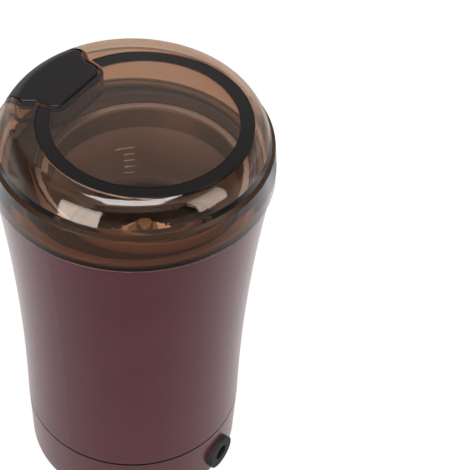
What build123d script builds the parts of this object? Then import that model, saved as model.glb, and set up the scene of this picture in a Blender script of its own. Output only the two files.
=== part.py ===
from build123d import *

import os
from math import cos, pi, radians, sin, sqrt

# An electric coffee grinder with a spinning blade, standing on the origin with +Z up.
# The press button is at the front, on -Y. The bowl, the blade and the motor share
# an upright axis that lies behind the axis of the body, on +Y.
# All lengths are in millimetres.

# Heights of the main pieces, stacked from the table up
foot_height = 2.0
base_height = 27.5
seam_gap = 0.6
body_height = 115.2
lid_height = 24.3

# Where the bowl and the motor stand behind the body's axis
motor_offset = 4.8

# Clearances that several pieces share
overrun = 1.0
seat_gap = 0.02
running_gap = 0.05
free_gap = 0.3

# Housing: straight waist, flared side, shoulder, locating neck, deck and a rim round the bowl
waist_radius = 41.2
waist_height = 9.9
shoulder_radius = 48.0
shoulder_round = 0.5
housing_wall = 2.2
neck_inset = 3.4
neck_wall = 2.0
neck_height = 1.2
neck_round = 0.4
deck_drop = 0.9
deck_thickness = 2.2
rim_rise = 5.6
rim_wall = 1.5
rim_gap = 0.5
rim_round = 0.5

# Base cover with its tongue, screw posts and floor vents
base_taper = 0.8
base_corner = 6.0
base_wall = 2.6
base_floor = 2.4
tongue_height = 4.0
tongue_wall = 1.6
tongue_root = 3.0
post_radius = 4.0
post_inset = 4.6
post_angles = (30, 150, 270)
pillar_height = 14.0
pillar_web_width = 4.0
vent_count = 12
vent_width = 2.4
vent_inner_radius = 9.0
vent_length = 10.0

# Screws that hold the base cover
base_screw_radius = 1.5
base_screw_head_radius = 2.6
base_screw_head_height = 2.4
base_screw_grip = 8.0
base_screw_bite = 9.0
driver_slot_width = 0.8
driver_slot_depth = 0.9

# Rubber feet in shallow recesses
foot_radius = 5.5
foot_taper = 0.7
foot_recess = 1.2
foot_inset = 7.5
foot_angles = (90, 210, 330)

# Cord gland in the rear wall of the base
gland_radius = 5.5
gland_bore_radius = 3.2
gland_level = 13.0
gland_flange_radius = 6.9
gland_proud = 1.4
gland_tail = 4.0

# Grinding bowl with its seal, cushion and bush
bowl_sheet = 0.8
bowl_depth = 38.5
bowl_taper = 2.6
bowl_corner = 9.0
bowl_flange_width = 2.2
bowl_rim_gap = 0.4
bowl_wall_gap = 2.0
bowl_boss_radius = 9.5
bowl_boss_slope = 2.5
bowl_boss_height = 4.0
seal_thickness = 0.8
cushion_height = 8.0
cushion_inset = 1.2
cushion_width = 5.0
bowl_bush_radius = 5.0
bowl_bush_flange_radius = 7.2
bowl_bush_flange_height = 2.0
bowl_bush_proud = 0.6

# Blade, its collar and its nut
shaft_radius = 3.0
stud_radius = 1.8
collar_radius = 7.5
collar_height = 3.0
blade_thickness = 1.4
blade_centre_radius = 8.0
blade_root_width = 11.0
blade_tip_width = 7.0
blade_tip_gap = 5.0
blade_pitch_angle = 10
blade_turn = 126
blade_edge_width = 2.2
blade_edge_thickness = 0.5
nut_radius = 6.0
nut_height = 6.9
nut_hex_height = 2.6
nut_cap_radius = 2.9
nut_cap_round = 0.5
nut_roof = 1.2

# Motor carrier under the bowl, screwed up into the housing
carrier_thickness = 2.4
carrier_edge_gap = 0.4
carrier_rim_height = 4.0
carrier_rim_width = 1.8
carrier_hub_radius = 9.0
carrier_hub_drop = 4.0
carrier_hub_rise = 3.0
carrier_post_length = 18.6
carrier_vent_radius = 3.2
carrier_vent_ring_radius = 28.0
carrier_vent_count = 8
boss_radius = 3.2
boss_inset = 4.6
boss_height = 7.0
boss_web_width = 4.0
boss_angles = (90, 210, 330)
carrier_screw_radius = 1.3
carrier_screw_head_radius = 2.4
carrier_screw_head_height = 2.0
carrier_screw_bite = 5.0

# Motor: stator, armature, commutator, brushes, bearings and fan
stack_length = 22.0
stator_width = 46.0
stator_corner = 8.0
stator_yoke = 4.2
pole_width = 14.0
horn_thickness = 2.6
horn_angle = 56
air_gap = 0.6
coil_room = 3.6
armature_slot_count = 12
armature_tooth = 1.6
armature_slot_opening = 1.3
armature_slot_inset = 3.2
armature_overhang = 0.5
winding_length = 5.0
winding_inset = 0.5
winding_core_gap = 0.6
winding_round = 2.0
coil_build = 4.2
coil_corner = 3.2
coil_gap = 0.2
commutator_radius = 8.5
commutator_length = 10.0
commutator_gap = 1.0
commutator_bar_count = 12
commutator_groove_width = 0.6
commutator_groove_depth = 0.6
brush_width = 5.0
brush_height = 7.0
brush_length = 10.0
holder_wall = 1.0
holder_length = 11.0
holder_setback = 1.8
bush_radius = 6.0
bracket_thickness = 4.0
bracket_drop = 22.0
bracket_bar_width = 12.0
bracket_hub_radius = 8.0
bracket_hub_rise = 3.0
bracket_end = 3.4
motor_post_radius = 2.8
motor_screw_radius = 1.4
motor_screw_head_radius = 2.5
motor_screw_head_height = 2.0
motor_screw_bite = 8.0
shaft_tail = 2.0
washer_radius = 5.0
washer_thickness = 0.8
fan_gap = 1.5
fan_disc = 1.2
fan_height = 6.0
fan_vane_count = 9
fan_vane_width = 1.1
fan_vane_bow = 2.0
fan_hub_radius = 6.0
fan_clearance = 2.0

# Switch train at the front: plunger, boot and micro switch
channel_inset = 5.4
press_travel = 3.0
plunger_radius = 2.0
plunger_rise = 4.3
plunger_collar_radius = 3.2
plunger_collar_height = 1.2
plunger_seat = 1.0
boot_radius = 4.4
boot_spigot_radius = 3.3
boot_height = 1.2
boot_gap = 0.4
switch_width = 19.8
switch_depth = 6.6
switch_height = 10.2
switch_drop = 6.0
switch_wall_gap = 2.0
switch_peg_radius = 1.3
switch_peg_inset = 4.0
switch_peg_level = 3.0
terminal_width = 4.8
terminal_thickness = 0.8
terminal_length = 6.0
terminal_pitch = 6.6
switch_plate_thickness = 1.6
switch_plate_margin = 1.1

# Lid: clear dome, stepped band below it, button pocket and rod guide
lid_overhang = 0.8
lid_wall = 1.4
lid_window = 2.0
lid_edge_round = 0.5
dome_run = 9.6
pocket_wall = 1.4
pocket_gap = 0.4
pocket_rise = 16.3
guide_wall = 1.8
guide_length = 8.0
band_height = 15.4
band_draft = 0.9
band_straight = 5.0
band_slope = 1.6
band_round = 1.0

# Trim ring let into the lid's top
ring_inset = 2.8
ring_width = 4.9
ring_depth = 1.0
ring_sink = 0.15
ring_round = 0.3

# Button: outline in plan, with shares of its length and of its lobe width
button_setback = 4.4
button_length = 22.1
button_lobe_width = 33.0
button_roof = 1.8
button_wall = 1.6
button_skirt = 3.3
button_corner_round = 3.6
button_notch_round = 2.2
button_lobe_round = 1.8
button_boss_radius = 2.9
button_seat_radius = 4.1
chord_share = 0.74
notch_width_share = 0.8
notch_place_share = 0.36
lobe_place_share = 0.565
cusp_width_share = 0.925
cusp_place_share = 0.76
tail_width_share = 0.91

# Push rod and return spring of the button
rod_radius = 2.0
rod_seat = 2.2
spring_wire_radius = 0.35
spring_radius = 3.6
spring_length = 5.4
spring_turns = 3
arcs_per_turn = 4
samples_per_arc = 6

# Levels that follow from the heights
seam_level = foot_height + base_height
housing_low = seam_level + seam_gap
flare_low = housing_low + waist_height
joint_level = housing_low + body_height
neck_top = joint_level + neck_height
band_top = joint_level + band_height
deck_top = joint_level - deck_drop
deck_low = deck_top - deck_thickness
rim_top = deck_top + rim_rise
lid_top = joint_level + lid_height
bowl_rim_level = deck_top + seal_thickness
bowl_floor_level = bowl_rim_level - bowl_depth
bowl_under_level = bowl_floor_level - bowl_sheet
boss_top_level = bowl_floor_level + bowl_boss_height
carrier_top = bowl_under_level - cushion_height
carrier_low = carrier_top - carrier_thickness
upper_bush_low = carrier_low - carrier_hub_drop
upper_bush_top = carrier_top + carrier_hub_rise
stator_top = carrier_low - carrier_post_length
stator_low = stator_top - stack_length
bracket_top = stator_low - bracket_drop
bracket_low = bracket_top - bracket_thickness
lower_bush_top = bracket_top + bracket_hub_rise
core_low = stator_low - armature_overhang
core_top = stator_top + armature_overhang
commutator_top = core_low - winding_length - commutator_gap
commutator_low = commutator_top - commutator_length
brush_level = (commutator_top + commutator_low) / 2
fan_low = stator_top + coil_build + fan_clearance
collar_low = boss_top_level + bowl_bush_proud + free_gap
blade_low = collar_low + collar_height
nut_low = blade_low + blade_thickness
nut_top = nut_low + nut_height
pocket_floor = joint_level + pocket_rise
pocket_under = pocket_floor - pocket_wall
button_low = pocket_floor + button_skirt
plunger_top = deck_top + plunger_rise
rod_low = plunger_top + free_gap
rod_top = button_low + rod_seat
spring_high = pocket_floor + spring_length
switch_top = deck_low - switch_drop
switch_low = switch_top - switch_height


def flare_radius(level):
    """Outer radius of the housing at a level, on the curve that flares it."""
    climb_share = max(level - flare_low, 0) / (joint_level - flare_low)
    return waist_radius + (shoulder_radius - waist_radius) * climb_share**2


# Radii and places that follow from the housing
waist_inner_radius = waist_radius - housing_wall
neck_radius = shoulder_radius - neck_inset
neck_inner_radius = neck_radius - neck_wall
lid_inner_radius = neck_radius + free_gap
lid_radius = shoulder_radius + lid_overhang
window_radius = lid_radius - dome_run
ring_radius = window_radius - ring_inset
switch_room_radius = flare_radius(switch_low) - housing_wall - switch_depth / 2 - switch_wall_gap
switch_y = -min(neck_inner_radius - channel_inset, switch_room_radius)
boot_room_radius = motor_offset - switch_y - boot_radius - boot_gap
rim_radius = min(neck_inner_radius - motor_offset - rim_gap, boot_room_radius)
rim_inner_radius = rim_radius - rim_wall
bowl_flange_radius = rim_inner_radius - bowl_rim_gap
bowl_mouth_radius = bowl_flange_radius - bowl_flange_width
bowl_room_radius = flare_radius(bowl_floor_level) - housing_wall - motor_offset - bowl_sheet - bowl_wall_gap
bowl_lower_radius = min(bowl_mouth_radius - bowl_taper, bowl_room_radius)
cushion_radius = bowl_lower_radius - bowl_corner - cushion_inset
blade_reach = bowl_lower_radius - blade_tip_gap
carrier_edge_radius = flare_radius(carrier_low - carrier_rim_height) - housing_wall - carrier_edge_gap
boss_ring_radius = carrier_edge_radius - boss_inset
post_ring_radius = waist_inner_radius - post_inset
base_foot_radius = waist_radius - base_taper
bore_radius = stator_width / 2 - stator_yoke - coil_room - horn_thickness
armature_radius = bore_radius - air_gap
armature_slot_ring = armature_radius - armature_slot_inset
armature_slot_radius = pi * armature_slot_ring / armature_slot_count - armature_tooth / 2
motor_screw_x = (stator_width - stator_yoke) / 2
fan_radius = motor_screw_x - motor_post_radius - fan_gap
pillar_low = seam_level + tongue_height + free_gap
gland_z = foot_height + gland_level

STANDING = (Align.CENTER, Align.CENTER, Align.MIN)


def face_of(*lines):
    """Close the given lines into one flat face."""
    return make_face([edge for line in lines for edge in line.edges()])


def softened(face, radius, *corners):
    """Round the corners of a flat face that lie nearest to the given points."""
    for corner in corners:
        face = fillet(face.vertices().sort_by_distance(corner)[0], radius)
    return face


def turned(face):
    """Turn a face of (radius, height) points about the Z axis."""
    return revolve(Plane.XZ * face, axis=Axis.Z)


def rod(radius, low, high, x=0, y=0):
    return Pos(x, y, low) * Cylinder(radius, high - low, align=STANDING)


def tube(outer_radius, inner_radius, low, high, x=0, y=0):
    return rod(outer_radius, low, high, x, y) - rod(inner_radius, low, high, x, y)


def block(x_span, y_span, z_span):
    """A box between the two ends given on each axis."""
    size = [high - low for low, high in (x_span, y_span, z_span)]
    middle = [(high + low) / 2 for low, high in (x_span, y_span, z_span)]
    return Pos(*middle) * Box(*size)


def polar(radius, angle):
    return radius * cos(radians(angle)), radius * sin(radians(angle))


def motor_axis(shape):
    """Move a shape that was made about Z to the axis of the motor."""
    return Pos(0, motor_offset, 0) * shape


def screw(radius, head_radius, head_height, length):
    """A pan-head screw that points up, with its head below the origin."""
    body = rod(head_radius, -head_height, 0) + rod(radius, 0, length)
    slot_low = -head_height - overrun
    slot_high = -head_height + driver_slot_depth
    slot_reach = head_radius + overrun
    half_slot = driver_slot_width / 2
    slot = block((-slot_reach, slot_reach), (-half_slot, half_slot), (slot_low, slot_high))
    return body - slot


def wall_web(angle, start_radius, end_radius, half_width, low, high):
    """An upright web that ties a boss to the housing's wall."""
    return Rot(Z=angle) * block((start_radius, end_radius), (-half_width, half_width), (low, high))


def flare_curve(inset, high):
    """The flare's side from the waist up to a level, drawn in by an inset."""
    low_radius = waist_radius - inset
    return Bezier(
        (low_radius, flare_low),
        (low_radius, (flare_low + high) / 2),
        (flare_radius(high) - inset, high),
    )


def flared_solid(inset, low, high):
    """The housing's outside as a solid, drawn in by an inset and cut at two levels."""
    side = flare_curve(inset, high)
    low_radius = waist_radius - inset
    rest = Polyline(side @ 1, (0, high), (0, low), (low_radius, low), side @ 0)
    return turned(face_of(side, rest))


def carrier_bosses():
    """Bosses on the housing's wall that the motor carrier is screwed up into."""
    web_end = flare_radius(carrier_top) - housing_wall / 2
    bosses = []
    for angle in boss_angles:
        x, y = polar(boss_ring_radius, angle)
        boss = rod(boss_radius, carrier_top, carrier_top + boss_height, x, y)
        boss_top = carrier_top + boss_height
        boss += wall_web(angle, boss_ring_radius, web_end, boss_web_width / 2, carrier_top, boss_top)
        hole_radius = carrier_screw_radius + seat_gap
        hole_top = carrier_top + carrier_screw_bite + seat_gap
        bosses.append(boss - rod(hole_radius, carrier_top - overrun, hole_top, x, y))
    return bosses


def base_pillars():
    """Pillars inside the housing's waist that take the base screws."""
    pillars = []
    for angle in post_angles:
        x, y = polar(post_ring_radius, angle)
        pillar = rod(post_radius, pillar_low, pillar_low + pillar_height, x, y)
        web_end = waist_inner_radius + housing_wall / 2
        top = pillar_low + pillar_height
        pillar += wall_web(angle, post_ring_radius, web_end, pillar_web_width / 2, pillar_low, top)
        hole_radius = base_screw_radius + seat_gap
        hole_top = pillar_low + base_screw_bite + seat_gap
        pillars.append(pillar - rod(hole_radius, pillar_low - overrun, hole_top, x, y))
    return pillars


def switch_plate():
    """Plate hung from the deck, with the two pegs that carry the micro switch."""
    front = switch_y + switch_depth / 2
    half_width = switch_width / 2 + switch_plate_margin
    plate = block(
        (-half_width, half_width),
        (front, front + switch_plate_thickness),
        (switch_low - switch_plate_margin, deck_low + deck_thickness / 2),
    )
    for side in (-1, 1):
        peg = Rot(X=90) * rod(switch_peg_radius, 0, switch_depth)
        x = side * (switch_width / 2 - switch_peg_inset)
        plate += Pos(x, front, switch_low + switch_peg_level) * peg
    return plate


def bowl_rim():
    """Upright rim on the deck that keeps beans in and the bowl's flange out of sight."""
    middle = Pos((rim_radius + rim_inner_radius) / 2, (deck_low + rim_top) / 2)
    section = middle * Rectangle(rim_wall, rim_top - deck_low)
    section = softened(section, rim_round, (rim_radius, rim_top), (rim_inner_radius, rim_top))
    return motor_axis(turned(section))


def housing_shell():
    """One moulding: flared wall, shoulder ledge, low neck, deck, bowl rim and the bosses inside."""
    side = flare_curve(0, joint_level - shoulder_round)
    ledge = (shoulder_radius - shoulder_round, joint_level)
    lip = TangentArc(side @ 1, ledge, tangent=side % 1)
    rest = Polyline(
        ledge,
        (neck_radius, joint_level),
        (neck_radius, neck_top),
        (neck_inner_radius, neck_top),
        (neck_inner_radius, deck_top),
        (0, deck_top),
        (0, housing_low),
        (waist_radius, housing_low),
        (waist_radius, flare_low),
    )
    outline = face_of(side, lip, rest)
    outline = softened(outline, neck_round, (neck_radius, neck_top), (neck_inner_radius, neck_top))
    shell = turned(outline) - flared_solid(housing_wall, housing_low - overrun, deck_low)
    bowl_hole_radius = bowl_mouth_radius + bowl_sheet + seat_gap
    shell -= motor_axis(rod(bowl_hole_radius, deck_low - overrun, deck_top + overrun))
    shell += bowl_rim()
    shell += switch_plate()
    shell += carrier_bosses()
    shell += base_pillars()
    boot_hole_radius = boot_spigot_radius + seat_gap
    return shell - rod(boot_hole_radius, deck_low - overrun, deck_top + overrun, 0, switch_y)


def base_solid(low):
    """The base's outside as a solid, from a low level up to the seam."""
    outline = face_of(
        Polyline(
            (0, low),
            (base_foot_radius, low),
            (waist_radius, seam_level),
            (0, seam_level),
            close=True,
        )
    )
    return turned(softened(outline, base_corner, (base_foot_radius, low)))


def base_cavity():
    """The hollow of the base above its floor."""
    floor = foot_height + base_floor
    outline = face_of(
        Polyline(
            (0, floor),
            (base_foot_radius - base_wall, floor),
            (waist_radius - base_wall, seam_level + overrun),
            (0, seam_level + overrun),
            close=True,
        )
    )
    return turned(softened(outline, base_corner - base_wall, (base_foot_radius - base_wall, floor)))


def base_cover():
    """Shallow cup with a tongue, three screw posts, foot recesses and vents."""
    cover = base_solid(foot_height) - base_cavity()
    tongue_radius = waist_inner_radius - seat_gap
    tongue_low = seam_level - tongue_root
    cover += tube(tongue_radius, tongue_radius - tongue_wall, tongue_low, seam_level + tongue_height)
    head_seat = pillar_low - base_screw_grip
    for angle in post_angles:
        x, y = polar(post_ring_radius, angle)
        cover += rod(post_radius, foot_height, pillar_low, x, y)
        head_hole = base_screw_head_radius + free_gap
        cover -= rod(head_hole, foot_height - overrun, head_seat, x, y)
        cover -= rod(base_screw_radius + seat_gap, foot_height, pillar_low + overrun, x, y)
    for angle in foot_angles:
        x, y = polar(base_foot_radius - base_corner - foot_inset, angle)
        cover -= rod(foot_radius + seat_gap, foot_height - overrun, foot_height + foot_recess, x, y)
    for index in range(vent_count):
        slot = SlotCenterToCenter(vent_length - vent_width, vent_width)
        cutter = extrude(Pos(vent_inner_radius + vent_length / 2, 0) * slot, base_floor + 2 * overrun)
        turn = Rot(Z=index * 360 / vent_count)
        cover -= turn * Pos(0, 0, foot_height - overrun) * cutter
    gland_hole = Rot(X=-90) * rod(gland_radius + seat_gap, 0, waist_radius + overrun)
    return cover - Pos(0, 0, gland_z) * gland_hole


def base_screws():
    """Three screws that go up through the base posts into the housing's pillars."""
    length = base_screw_grip + base_screw_bite
    one = screw(base_screw_radius, base_screw_head_radius, base_screw_head_height, length)
    seat = pillar_low - base_screw_grip
    return [Pos(*polar(post_ring_radius, angle), seat) * one for angle in post_angles]


def rubber_feet():
    """Three tapered rubber pads pressed into the recesses of the base."""
    foot_top = foot_height + foot_recess
    outline = Polyline(
        (0, 0),
        (foot_radius - foot_taper, 0),
        (foot_radius, foot_height),
        (foot_radius, foot_top),
        (0, foot_top),
        close=True,
    )
    one = turned(face_of(outline))
    ring_radius_of_feet = base_foot_radius - base_corner - foot_inset
    return [Pos(*polar(ring_radius_of_feet, angle)) * one for angle in foot_angles]


def cord_gland():
    """Bush in the base's rear wall, with a flange that follows the wall outside."""
    outer_end = waist_radius + gland_proud
    inner_end = base_foot_radius - base_wall - gland_tail
    flange_low = base_foot_radius - base_wall
    rearward = Pos(0, 0, gland_z) * Rot(X=-90)
    flange = rearward * rod(gland_flange_radius, flange_low, outer_end)
    flange -= base_solid(foot_height)
    barrel = rod(gland_radius, inner_end, outer_end)
    barrel -= rod(gland_bore_radius, inner_end - overrun, outer_end + overrun)
    bore = rod(gland_bore_radius, inner_end, outer_end + overrun)
    return flange - rearward * bore + rearward * barrel


def bowl_profile(skin):
    """Half outline of the bowl's inside, moved outwards by a skin."""
    wall_top = (bowl_mouth_radius + skin, bowl_rim_level)
    wall_foot = (bowl_lower_radius + skin, bowl_floor_level - skin)
    boss_foot = (bowl_boss_radius + bowl_boss_slope - skin, bowl_floor_level - skin)
    boss_head = (bowl_boss_radius - skin, boss_top_level - skin)
    outline = face_of(
        Polyline(
            (0, bowl_rim_level),
            wall_top,
            wall_foot,
            boss_foot,
            boss_head,
            (0, boss_top_level - skin),
            close=True,
        )
    )
    return turned(softened(outline, bowl_corner + skin, wall_foot))


def grinding_bowl():
    """Drawn steel bowl with a flat flange, a coved floor and a raised boss."""
    bowl = bowl_profile(bowl_sheet) - bowl_profile(0)
    flange_top = bowl_rim_level + bowl_sheet
    bowl += tube(bowl_flange_radius, bowl_mouth_radius, bowl_rim_level, flange_top)
    bush_hole = rod(bowl_bush_radius + seat_gap, bowl_floor_level, boss_top_level + overrun)
    return motor_axis(bowl - bush_hole)


def rim_seal():
    """Soft ring between the deck and the bowl's flange."""
    inner = bowl_mouth_radius + bowl_sheet + seat_gap
    return motor_axis(tube(bowl_flange_radius, inner, deck_top, bowl_rim_level))


def bowl_cushion():
    """Rubber ring that carries the bowl on the motor carrier."""
    return motor_axis(tube(cushion_radius, cushion_radius - cushion_width, carrier_top, bowl_under_level))


def bowl_bush():
    """Bush and seal where the shaft comes up through the bowl's boss."""
    flange_top = boss_top_level - bowl_sheet
    bush = rod(bowl_bush_flange_radius, flange_top - bowl_bush_flange_height, flange_top)
    bush += rod(bowl_bush_radius, flange_top, boss_top_level + bowl_bush_proud)
    bore = rod(shaft_radius + running_gap, bowl_floor_level - bowl_depth, nut_top)
    return motor_axis(bush - bore)


def motor_carrier():
    """Round moulded plate with a rim, a bearing hub, vents and two motor posts."""
    plate = rod(carrier_edge_radius, carrier_low, carrier_top)
    rim_low = carrier_low - carrier_rim_height
    plate += tube(carrier_edge_radius, carrier_edge_radius - carrier_rim_width, rim_low, carrier_top)
    works = rod(carrier_hub_radius, upper_bush_low, upper_bush_top)
    for side in (-1, 1):
        works += rod(motor_post_radius, stator_top, carrier_top, side * motor_screw_x)
    works -= rod(bush_radius + seat_gap, upper_bush_low - overrun, upper_bush_top + overrun)
    plate += motor_axis(works)
    cutters = [rod(bush_radius + seat_gap, carrier_low - overrun, carrier_top + overrun)]
    for index in range(carrier_vent_count):
        x, y = polar(carrier_vent_ring_radius, (index + 1 / 2) * 360 / carrier_vent_count)
        cutters.append(rod(carrier_vent_radius, carrier_low - overrun, carrier_top + overrun, x, y))
    for side in (-1, 1):
        hole_top = stator_top + motor_screw_bite + seat_gap
        hole_radius = motor_screw_radius + seat_gap
        cutters.append(rod(hole_radius, stator_top - overrun, hole_top, side * motor_screw_x))
    plate -= [motor_axis(cutter) for cutter in cutters]
    for angle in boss_angles:
        x, y = polar(boss_ring_radius, angle)
        plate -= rod(carrier_screw_radius + seat_gap, carrier_low - overrun, carrier_top + overrun, x, y)
    return plate


def carrier_screws():
    """Three screws that hold the carrier up against the housing's bosses."""
    length = carrier_thickness + carrier_screw_bite
    one = screw(carrier_screw_radius, carrier_screw_head_radius, carrier_screw_head_height, length)
    return [Pos(*polar(boss_ring_radius, angle), carrier_low) * one for angle in boss_angles]


def shaft_bush(low, high):
    """Plain bronze bush with a running fit on the shaft."""
    return motor_axis(tube(bush_radius, shaft_radius + running_gap, low, high))


def stator_core():
    """Two-pole lamination stack: square yoke, pole necks and curved pole horns."""
    window_width = stator_width - 2 * stator_yoke
    window_corner = stator_corner - stator_yoke
    sheet = RectangleRounded(stator_width, stator_width, stator_corner)
    sheet -= RectangleRounded(window_width, window_width, window_corner)
    sheet += Rectangle(pole_width, window_width + stator_yoke)
    horn_radius = bore_radius + horn_thickness
    horns = Circle(horn_radius)
    reach = 2 * horn_radius
    half_span = reach * sin(radians(horn_angle))
    drop = reach * cos(radians(horn_angle))
    corners = [(0, 0), (-half_span, drop), (-half_span, reach), (half_span, reach), (half_span, drop)]
    wedge = face_of(Polyline(*corners, close=True))
    sheet += horns & (wedge + Rot(Z=180) * wedge)
    sheet -= Circle(bore_radius)
    for side in (-1, 1):
        sheet -= Pos(side * motor_screw_x, 0) * Circle(motor_screw_radius + seat_gap)
    return motor_axis(Pos(0, 0, stator_low) * extrude(sheet, stack_length))


def field_coils():
    """Two taped coils, one round the neck of each pole."""
    inner_y = bore_radius + horn_thickness + coil_gap
    outer_y = stator_width / 2 - stator_yoke - coil_gap
    width = pole_width + 2 * coil_build
    height = stack_length + 2 * coil_build
    loop = RectangleRounded(width, height, coil_corner)
    loop -= Rectangle(pole_width + 2 * coil_gap, stack_length + 2 * coil_gap)
    coil = Rot(X=90) * extrude(loop, outer_y - inner_y)
    coil = Pos(0, outer_y, (stator_low + stator_top) / 2) * coil
    return [motor_axis(coil), motor_axis(Rot(Z=180) * coil)]


def lower_bracket():
    """Cross-shaped end bracket with a bearing hub, two posts and two brush pads."""
    x_reach = motor_screw_x + bracket_end
    y_reach = commutator_radius + holder_setback + holder_length
    half_bar = bracket_bar_width / 2
    bracket = block((-x_reach, x_reach), (-half_bar, half_bar), (bracket_low, bracket_top))
    bracket += block((-half_bar, half_bar), (-y_reach, y_reach), (bracket_low, bracket_top))
    bracket += rod(bracket_hub_radius, bracket_low, lower_bush_top)
    pad_top = brush_level - brush_height / 2 - holder_wall - seat_gap
    pad_half = brush_width / 2 + holder_wall
    for side in (-1, 1):
        bracket += rod(motor_post_radius, bracket_low, stator_low, side * motor_screw_x)
        pad = block((-pad_half, pad_half), (y_reach - holder_length, y_reach), (bracket_low, pad_top))
        bracket += Rot(Z=90 - 90 * side) * pad
    bracket -= rod(bush_radius + seat_gap, bracket_low - overrun, lower_bush_top + overrun)
    for side in (-1, 1):
        hole_radius = motor_screw_radius + seat_gap
        bracket -= rod(hole_radius, bracket_low - overrun, stator_low + overrun, side * motor_screw_x)
    return motor_axis(bracket)


def motor_screws():
    """Two long screws through bracket and stator into the carrier's posts."""
    length = stator_top + motor_screw_bite - bracket_low
    one = screw(motor_screw_radius, motor_screw_head_radius, motor_screw_head_height, length)
    return [motor_axis(Pos(side * motor_screw_x, 0, bracket_low) * one) for side in (-1, 1)]


def brush_holders():
    """Two brass boxes that guide the brushes."""
    start = commutator_radius + holder_setback
    half_x = brush_width / 2 + seat_gap
    half_z = brush_height / 2 + seat_gap
    box = block(
        (-half_x - holder_wall, half_x + holder_wall),
        (start, start + holder_length),
        (brush_level - half_z - holder_wall, brush_level + half_z + holder_wall),
    )
    box -= block(
        (-half_x, half_x),
        (start - overrun, start + holder_length - holder_wall),
        (brush_level - half_z, brush_level + half_z),
    )
    return [motor_axis(box), motor_axis(Rot(Z=180) * box)]


def carbon_brushes():
    """Two brushes, hollowed at the face that runs on the commutator."""
    start = commutator_radius - overrun
    end = commutator_radius + free_gap + brush_length
    brush = block(
        (-brush_width / 2, brush_width / 2),
        (start, end),
        (brush_level - brush_height / 2, brush_level + brush_height / 2),
    )
    brush -= rod(commutator_radius + free_gap, commutator_low, commutator_top)
    return [motor_axis(brush), motor_axis(Rot(Z=180) * brush)]


def motor_shaft():
    """Ground steel shaft from the lower bush up to the blade, with a stud for the nut."""
    shaft = rod(shaft_radius, bracket_low - shaft_tail, blade_low)
    return motor_axis(shaft + rod(stud_radius, blade_low, nut_top - nut_roof))


def armature_core():
    """Slotted lamination stack on the shaft."""
    sheet = Circle(armature_radius) - Circle(shaft_radius + seat_gap)
    for index in range(armature_slot_count):
        slot = Pos(armature_slot_ring, 0) * Circle(armature_slot_radius)
        mouth_length = armature_slot_inset + overrun
        mouth_x = armature_slot_ring + mouth_length / 2
        slot += Pos(mouth_x, 0) * Rectangle(mouth_length, armature_slot_opening)
        sheet -= Rot(Z=index * 360 / armature_slot_count) * slot
    return motor_axis(Pos(0, 0, core_low) * extrude(sheet, core_top - core_low))


def armature_winding():
    """The two rounded ends of the armature's winding."""
    outer = armature_radius - winding_inset
    inner = shaft_radius + winding_core_gap
    ring = Pos((outer + inner) / 2, winding_length / 2) * Rectangle(outer - inner, winding_length)
    corner = min(winding_round, (outer - inner) / 3)
    ring = softened(ring, corner, (outer, winding_length), (inner, winding_length))
    upper = Pos(0, 0, core_top) * turned(ring)
    lower = Pos(0, 0, core_low) * Rot(X=180) * turned(ring)
    return [motor_axis(upper), motor_axis(lower)]


def commutator():
    """Copper drum with a groove between each two bars."""
    drum = tube(commutator_radius, shaft_radius + seat_gap, commutator_low, commutator_top)
    for index in range(commutator_bar_count):
        groove = block(
            (commutator_radius - commutator_groove_depth, commutator_radius + overrun),
            (-commutator_groove_width / 2, commutator_groove_width / 2),
            (commutator_low - overrun, commutator_top + overrun),
        )
        drum -= Rot(Z=index * 360 / commutator_bar_count) * groove
    return motor_axis(drum)


def cooling_fan():
    """Fan disc with bowed vanes, under the carrier."""
    hub_top = upper_bush_low - free_gap - washer_thickness
    fan = rod(fan_radius, fan_low, fan_low + fan_disc) + rod(fan_hub_radius, fan_low, hub_top)
    middle = ((fan_hub_radius + fan_radius) / 2, fan_vane_bow)
    bow = ThreePointArc((fan_hub_radius - fan_vane_width, 0), middle, (fan_radius - fan_vane_width, 0))
    vane_face = trace(bow, fan_vane_width)
    vane = Pos(0, 0, fan_low) * extrude(vane_face, fan_height)
    fan += [Rot(Z=index * 360 / fan_vane_count) * vane for index in range(fan_vane_count)]
    fan -= rod(shaft_radius + seat_gap, fan_low - overrun, hub_top + overrun)
    return motor_axis(fan)


def thrust_washers():
    """Washers between the turning pieces and the two bushes."""
    upper_top = upper_bush_low - free_gap
    upper = tube(washer_radius, shaft_radius + seat_gap, upper_top - washer_thickness, upper_top)
    lower = tube(washer_radius, shaft_radius + seat_gap, lower_bush_top + free_gap, commutator_low)
    return [motor_axis(upper), motor_axis(lower)]


def blade_collar():
    """Black collar that carries the blade clear of the bowl's boss."""
    return motor_axis(tube(collar_radius, shaft_radius + seat_gap, collar_low, blade_low))


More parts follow.
